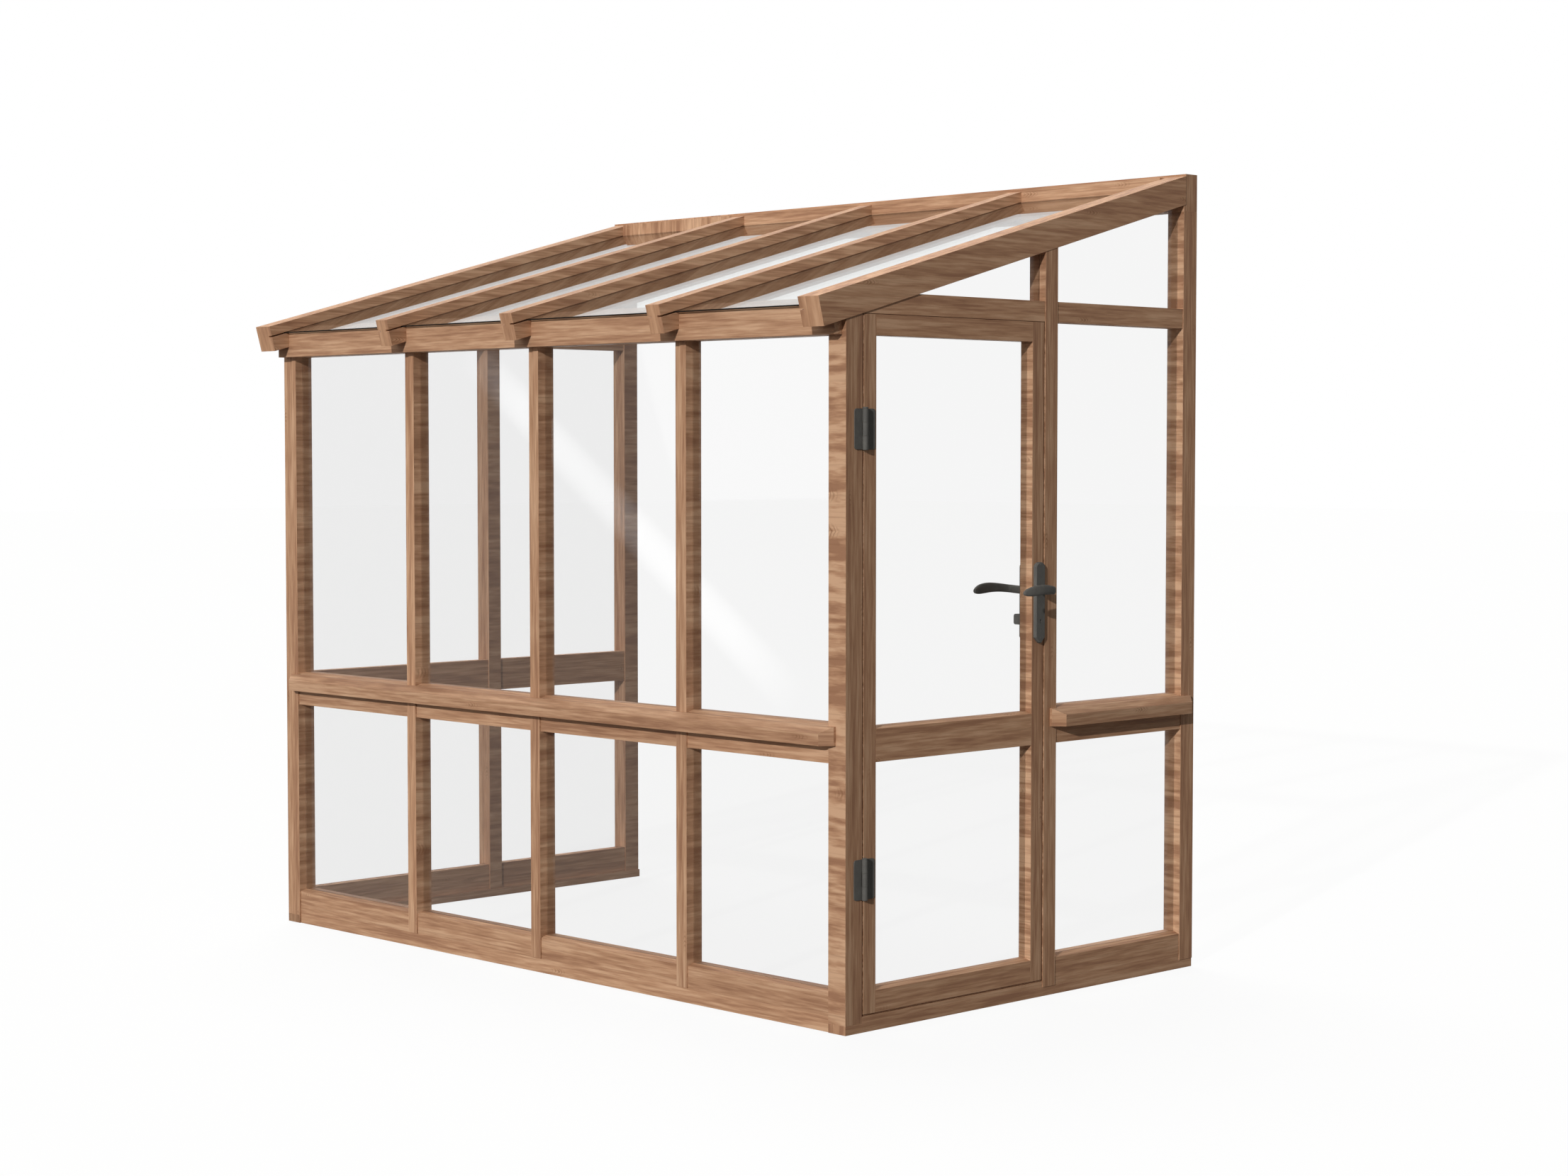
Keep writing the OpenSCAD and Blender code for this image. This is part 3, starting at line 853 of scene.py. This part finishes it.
@dataclass
class StopBeads:
    """Round-nosed cedar beads on the frame that close most of the gaps round the door.

    The bead by the lock leaves room for the arc of the door's inner edge. The beads sit in real
    shade in their recess, and their cedar is also painted darker than the frame's: painted shade
    in the gaps.
    """

    recess_mm: float = 2.0
    depth_mm: float = 14.0
    clear_mm: float = 0.6
    swing_mm: float = 2.3
    nose_steps: int = 6

    def build(self) -> None:
        """Models the beads at the hinge stile, the lock stile, the head and the foot."""
        hinge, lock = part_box("door_hinge_stile"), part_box("door_lock_stile")
        low, high = hinge[0], lock[1]
        clear, swing = self.clear_mm * MM, self.swing_mm * MM
        tall, wide = (low.z, high.z), (low.y, high.y)
        mesh = bmesh.new()
        self._bead(mesh, high.x, (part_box("corner_post_right")[1].y, low.y - clear), tall, True)
        self._bead(mesh, high.x, (high.y + swing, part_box("right_mid_post")[0].y), tall, True)
        self._bead(mesh, high.x, (high.z + clear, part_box("right_transoms")[0].z), wide, False)
        self._bead(mesh, high.x, (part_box("threshold_strips")[1].z, low.z - clear), wide, False)
        # Darker than the frame's cedar: painted shade, so the gaps round the door read as dark
        # lines
        finish = Timber(
            "cedar_bead_painted_shade", Grain.UPRIGHT, dark="#75543f", body="#86634b", pale="#967159"
        )
        new_piece("stop_beads", mesh, finish.material(), "frame", smooth=False)

    def _bead(
        self, mesh: bmesh.types.BMesh, face: float, gap: tuple[float, float],
        run: tuple[float, float], upright: bool,
    ) -> None:
        """Adds one bead.

        Args:
            mesh: Mesh that takes the faces.
            face: Level of the door's outer face along X, in metres.
            gap: Where the bead starts and ends across the gap.
            run: Where it starts and ends along the door's edge.
            upright: Whether it stands upright instead of lying level.
        """
        front = face - self.recess_mm * MM
        middle, half = (gap[0] + gap[1]) / 2, (gap[1] - gap[0]) / 2
        back = front - self.depth_mm * MM
        outline = [(back, -half), (back, half)]
        for step in range(self.nose_steps + 1):
            angle = math.pi * (0.5 - step / self.nose_steps)
            outline.append((front - half * (1 - math.cos(angle)), half * math.sin(angle)))
        rings = []
        for end in run:
            ring = []
            for x, across in outline:
                y, z = (middle + across, end) if upright else (end, middle + across)
                ring.append(mesh.verts.new((x, y, z)))
            rings.append(ring)
        count = len(outline)
        for i in range(count):
            j = (i + 1) % count
            mesh.faces.new((rings[0][i], rings[0][j], rings[1][j], rings[1][i]))
        mesh.faces.new(rings[0])
        mesh.faces.new(rings[1])


@dataclass
class Hinges:
    """Butt hinges with a rounded pin head above and below each barrel."""

    coat: bpy.types.Material
    barrel_r_mm: float = 7.5
    head_mm: float = 4.0
    foot_mm: float = 2.0
    # Seat of a head: [in from the barrel, up from its end] in mm
    seat_mm: tuple[tuple[float, float], ...] = ((1.1, 0.0), (0.3, 0.4))
    # Rim of a head: [in from the barrel, down from the top] in mm, from the edge to the flat
    rim_mm: tuple[tuple[float, float], ...] = ((0.3, 1.2), (0.8, 0.4), (1.9, 0.0))

    def build(self) -> None:
        """Dresses the leaves and adds the pin heads."""
        for node in ("hinge_frame_leaves", "hinge_door_leaves"):
            dress(node, self.coat)
        joint = next(j for j in frame["joints"] if j["name"] == "door_swing")
        x, y = joint["pos_m"][:2]
        mesh = bmesh.new()
        for low, high in self._levels():
            top = Matrix.Translation((x, y, high))
            foot = Matrix.Translation((x, y, low)) @ Matrix.Rotation(math.pi, 4, "X")
            turned_form(mesh, self._button(self.head_mm), top)
            turned_form(mesh, self._button(self.foot_mm), foot)
        new_piece("hinge_pin_heads", mesh, self.coat, "frame")

    @staticmethod
    def _levels() -> list[tuple[float, float]]:
        """Finds the lower and upper end of each hinge.

        Returns:
            For each hinge, its lowest and highest level in metres.
        """
        levels = sorted(
            vertex.co.z for vertex in frame["nodes"]["hinge_frame_leaves"].data.vertices
        )
        middle = (levels[0] + levels[-1]) / 2
        lower = [z for z in levels if z < middle]
        upper = [z for z in levels if z > middle]
        return [(lower[0], lower[-1]), (upper[0], upper[-1])]

    def _button(self, height: float) -> list[tuple[float, float]]:
        """Profile of a pin head with a rounded rim.

        Args:
            height: Height of the head in millimetres.

        Returns:
            Radius and height of each ring.
        """
        r = self.barrel_r_mm
        seat = [(r - inset, rise) for inset, rise in self.seat_mm]
        return seat + [(r - inset, height - drop) for inset, drop in self.rim_mm]


@dataclass
class LeverLock:
    """Lever lock: bevelled backplates, a waved lever on each side, thumbturn and screws."""

    coat: bpy.types.Material
    # Stations of the grip: [out from the plate, along, up, half height, half thickness] in mm
    stations: tuple[tuple[float, float, float, float, float], ...] = (
        (1.0, 0.0, 0.0, 11.2, 11.2), (14.0, 0.0, 0.2, 11.1, 10.8), (28.0, 0.0, 0.8, 11.0, 10.2),
        (39.0, 0.5, 1.6, 11.0, 9.6), (47.5, 3.5, 2.4, 11.0, 9.0), (53.0, 11.0, 3.4, 11.1, 8.2),
        (57.5, 22.0, 4.8, 11.5, 7.5), (62.0, 38.0, 6.3, 12.2, 7.1), (65.2, 56.0, 7.1, 13.2, 6.9),
        (66.6, 74.0, 6.8, 14.1, 6.8), (66.3, 90.0, 5.6, 14.4, 6.7), (64.8, 105.0, 4.0, 13.8, 6.4),
        (62.7, 118.0, 2.2, 12.2, 6.0), (60.7, 128.0, 0.5, 9.6, 5.4), (59.4, 135.0, -1.0, 6.4, 4.6),
        (58.6, 139.5, -2.2, 3.2, 3.6),
    )
    # Below 1 squares the grip's section: flat sides with a narrow rim that catches the light
    square: float = 0.68
    ring_points: int = 28
    thumbturn_round_mm: float = 1.2
    screw_r_mm: float = 3.2
    screw_levels_mm: tuple[float, float] = (13.5, 215.5)

    def build(self) -> None:
        """Dresses the plates and the thumbturn, then models the levers and the screws."""
        dress("lock_backplates", self.coat)
        ease_edges(dress("thumbturn", self.coat), self.thumbturn_round_mm)
        self._levers()
        self._screws()

    def _levers(self) -> None:
        """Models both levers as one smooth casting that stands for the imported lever."""
        low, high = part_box("lock_backplates")
        joint = next(j for j in frame["joints"] if j["name"] == "lever_press")
        y, z = joint["pos_m"][1:]
        mesh = bmesh.new()
        for face, out in ((high.x, 1.0), (low.x, -1.0)):
            self._lever(mesh, Vector((face, y, z)), out)
        piece = new_piece("lever_pair", mesh, self.coat, "lever")
        round_off = piece.modifiers.new("round", "SUBSURF")
        round_off.levels = round_off.render_levels = 1
        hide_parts("lever_handle")

    def _lever(self, mesh: bmesh.types.BMesh, root: Vector, out: float) -> None:
        """Adds one lever to the mesh.

        Args:
            mesh: Mesh that takes the faces.
            root: Where the lever's axis meets the plate's face.
            out: 1 where the plate faces +X and -1 where it faces -X.
        """
        centres = [
            root + Vector((out * s[0], -s[1], s[2])) * MM for s in self.stations
        ]
        rings = []
        for i, station in enumerate(self.stations):
            ahead = centres[min(i + 1, len(centres) - 1)] - centres[max(i - 1, 0)]
            side = ahead.cross(Vector((0.0, 0.0, 1.0))).normalized()
            up = side.cross(ahead).normalized()
            ring = []
            for k in range(self.ring_points):
                angle = 2 * math.pi * k / self.ring_points
                c, s = math.cos(angle), math.sin(angle)
                across = math.copysign(abs(c) ** self.square, c) * station[4] * MM
                upward = math.copysign(abs(s) ** self.square, s) * station[3] * MM
                ring.append(mesh.verts.new(centres[i] + side * across + up * upward))
            rings.append(ring)
        for near, far in zip(rings, rings[1:]):
            for k in range(self.ring_points):
                m = (k + 1) % self.ring_points
                mesh.faces.new((near[k], near[m], far[m], far[k]))
        mesh.faces.new(rings[0])
        mesh.faces.new(rings[-1])

    def _screws(self) -> None:
        """Adds a raised screw with a round recess near the head and the foot of each plate."""
        low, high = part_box("lock_backplates")
        y = (low.y + high.y) / 2
        r = self.screw_r_mm
        profile = [(r, -0.2), (r, 0.1), (r - 0.5, 0.5), (0.42 * r, 0.7), (0.36 * r, 0.1)]
        mesh = bmesh.new()
        for face, turn in ((high.x, 90.0), (low.x, -90.0)):
            for level in self.screw_levels_mm:
                place = Matrix.Translation((face, y, low.z + level * MM)) @ Matrix.Rotation(
                    math.radians(turn), 4, "Y"
                )
                turned_form(mesh, profile, place, 24)
        new_piece("lock_screws", mesh, self.coat, "door")


@dataclass(frozen=True)
class Lamp:
    """One studio lamp, far away, with the way its light travels.

    Nodes named in spares get none of its light. Nodes named in only, if any, are all that it
    lights and all that shades it.
    """

    name: str
    way: tuple[float, float, float]
    strength: float
    angle_deg: float
    spares: tuple[str, ...] = ()
    only: tuple[str, ...] = ()

    def build(self) -> None:
        """Adds the lamp to the scene."""
        data = bpy.data.lights.new(self.name, "SUN")
        data.energy = self.strength
        data.angle = math.radians(self.angle_deg)
        lamp = bpy.data.objects.new(self.name, data)
        lamp.rotation_euler = Vector(self.way).to_track_quat("-Z", "Y").to_euler()
        bpy.context.scene.collection.objects.link(lamp)
        if self.spares:
            lamp.light_linking.receiver_collection = self._group(self.spares, "EXCLUDE")
        if self.only:
            lamp.light_linking.receiver_collection = self._group(self.only, "INCLUDE")
            lamp.light_linking.blocker_collection = self._group(self.only, "INCLUDE")

    def _group(self, nodes: tuple[str, ...], state: str) -> bpy.types.Collection:
        """Gathers nodes for the lamp.

        Args:
            nodes: Names of the nodes.
            state: Whether the lamp includes or excludes them.

        Returns:
            The nodes' collection, which is no part of the scene.
        """
        group = bpy.data.collections.new(self.name)
        for node in nodes:
            group.objects.link(frame["nodes"][node])
        for member in group.collection_objects:
            member.light_linking.link_state = state
        return group


@dataclass(frozen=True)
class LightCard:
    """A long soft-edged light card, out of sight, that the front panes mirror as a pale streak."""

    start: tuple[float, float, float] = (-4.25, -3.0, 2.016)
    end: tuple[float, float, float] = (-2.0, -3.0, 0.464)
    wide: float = 0.22
    glow: float = 2.6
    # Squared share of the half length and of the half width that glows in full
    core: tuple[float, float] = (0.4, 0.05)

    def build(self) -> None:
        """Hangs the card, which gives its light to mirror reflections alone."""
        start, end = Vector(self.start), Vector(self.end)
        half = (end - start) / 2
        side = half.cross(Vector((0.0, 1.0, 0.0))).normalized() * self.wide / 2
        data = bpy.data.meshes.new("light_card")
        data.from_pydata(
            [(-1.0, -1.0, 0.0), (1.0, -1.0, 0.0), (1.0, 1.0, 0.0), (-1.0, 1.0, 0.0)],
            [], [(0, 1, 2, 3)],
        )
        card = bpy.data.objects.new("light_card", data)
        turn = Matrix((half, side, half.cross(side).normalized())).transposed()
        card.matrix_world = Matrix.Translation((start + end) / 2) @ turn.to_4x4()
        card.visible_camera = card.visible_diffuse = card.visible_shadow = False
        card.visible_transmission = False
        bpy.context.scene.collection.objects.link(card)
        data.materials.append(self._material())

    def _material(self) -> bpy.types.Material:
        """Lets the glow fade out towards the card's edges.

        Returns:
            The finished material.
        """
        material, tree, output = blank_material("soft_card")
        spot = add_node(tree, "ShaderNodeTexCoord").outputs["Object"]
        far = add_node(tree, "ShaderNodeVectorMath", {0: spot, 1: spot}, operation="MULTIPLY")
        axes = add_node(tree, "ShaderNodeSeparateXYZ", {0: far.outputs[0]})
        fades = [
            add_node(
                tree, "ShaderNodeMapRange",
                {"Value": axes.outputs[axis], "From Min": core, "To Min": 1.0, "To Max": 0.0},
            )
            for axis, core in enumerate(self.core)
        ]
        fade = combine(tree, "MULTIPLY", fades[0].outputs[0], fades[1].outputs[0])
        power = combine(tree, "MULTIPLY", fade, self.glow)
        glow = add_node(
            tree, "ShaderNodeEmission",
            {"Color": linear("#ffffff"), "Strength": power},
        )
        clear = add_node(tree, "ShaderNodeBsdfTransparent", {"Color": linear("#ffffff")})
        both = add_node(tree, "ShaderNodeAddShader", {0: clear.outputs[0], 1: glow.outputs[0]})
        tree.links.new(both.outputs[0], output.inputs["Surface"])
        return material


@dataclass
class Stage:
    """Pale floor, white surround, the lamps and the camera of the photograph."""

    camera_at: tuple[float, float, float] = (6.3973, -5.2151, 1.5143)
    yaw_deg: float = 45.932
    down_deg: float = 2.733
    lens_mm: float = 65.0
    lamps: tuple[Lamp, ...] = (
        Lamp("key", (-0.38, 1.0, -0.38), 2.22, 1.0, spares=FAR_WALL),
        Lamp("far_wall_key", (-0.38, 1.0, -0.38), 1.3, 1.0, only=FAR_WALL),
        Lamp("front_fill", (0.35, 1.0, -0.15), 0.75, 60.0),
        Lamp("overhead", (0.4, -0.2, -0.9), 2.0, 30.0),
    )
    fill: float = 0.16
    floor_tone: str = "#4c4c4b"
    floor_glow: float = 0.92
    floor_half_m: float = 60.0
    floor_drop_mm: float = 0.5
    pane_bounces: int = 32

    def build(self) -> None:
        """Sets up the camera, the lights, the surround and the floor."""
        self._camera()
        for lamp in self.lamps:
            lamp.build()
        LightCard().build()
        self._surround()
        self._floor()
        bpy.context.scene.view_settings.view_transform = "Standard"
        bpy.context.scene.cycles.transparent_max_bounces = self.pane_bounces

    def _camera(self) -> None:
        """Places the camera where the photograph was taken from."""
        data = bpy.data.cameras.new("camera")
        data.lens, data.sensor_width = self.lens_mm, 36.0
        camera = bpy.data.objects.new("camera", data)
        camera.location = self.camera_at
        camera.rotation_euler = Euler(
            (math.radians(90 - self.down_deg), 0.0, math.radians(self.yaw_deg))
        )
        bpy.context.scene.collection.objects.link(camera)
        bpy.context.scene.camera = camera

    @staticmethod
    def _seen(tree: bpy.types.NodeTree) -> bpy.types.NodeSocket:
        """Finds the rays that look at the background, directly or in metal and glass.

        Args:
            tree: Node tree of the surround or the floor.

        Returns:
            1 for those rays and 0 for the rays that carry light.
        """
        path = add_node(tree, "ShaderNodeLightPath")
        seen = combine(
            tree, "MAXIMUM", path.outputs["Is Camera Ray"], path.outputs["Is Glossy Ray"]
        )
        return combine(tree, "MAXIMUM", seen, path.outputs["Is Transmission Ray"])

    def _surround(self) -> None:
        """Makes the surround white to the eye and a soft fill to the object."""
        world = bpy.data.worlds.new("surround")
        world.use_nodes = True
        tree = world.node_tree
        tree.nodes.clear()
        white = add_node(tree, "ShaderNodeBackground", {0: linear("#ffffff"), 1: 1.0})
        fill = add_node(tree, "ShaderNodeBackground", {0: linear("#ffffff"), 1: self.fill})
        both = add_node(
            tree, "ShaderNodeMixShader",
            {0: self._seen(tree), 1: fill.outputs[0], 2: white.outputs[0]},
        )
        add_node(tree, "ShaderNodeOutputWorld", {"Surface": both.outputs[0]})
        bpy.context.scene.world = world

    def _floor(self) -> None:
        """Lays a pale floor that keeps a faint shadow."""
        mesh = bmesh.new()
        bmesh.ops.create_grid(mesh, x_segments=1, y_segments=1, size=self.floor_half_m)
        data = bpy.data.meshes.new("floor")
        mesh.to_mesh(data)
        mesh.free()
        floor = bpy.data.objects.new("floor", data)
        floor.location.z = -self.floor_drop_mm * MM
        bpy.context.scene.collection.objects.link(floor)
        material, tree, output = blank_material("pale_floor")
        matt = add_node(tree, "ShaderNodeBsdfDiffuse", {"Color": linear(self.floor_tone)})
        strength = combine(tree, "MULTIPLY", self._seen(tree), self.floor_glow)
        glow = add_node(
            tree, "ShaderNodeEmission", {"Color": linear("#ffffff"), "Strength": strength}
        )
        both = add_node(tree, "ShaderNodeAddShader", {0: matt.outputs[0], 1: glow.outputs[0]})
        tree.links.new(both.outputs[0], output.inputs["Surface"])
        data.materials.append(material)


def main() -> None:
    """Builds the stage, then dresses and details the glasshouse."""
    logging.basicConfig(level=logging.INFO, format="%(name)s: %(message)s")
    Stage().build()
    coat = PowderCoat("graphite_powder_coat").material()
    parts = (
        Frame(), Roof(), Glazing(), Door(), StopBeads(), Hinges(coat), LeverLock(coat)
    )
    for part in parts:
        part.build()
        LOG.info("finished %s", type(part).__name__)


if __name__ == "__main__":
    main()
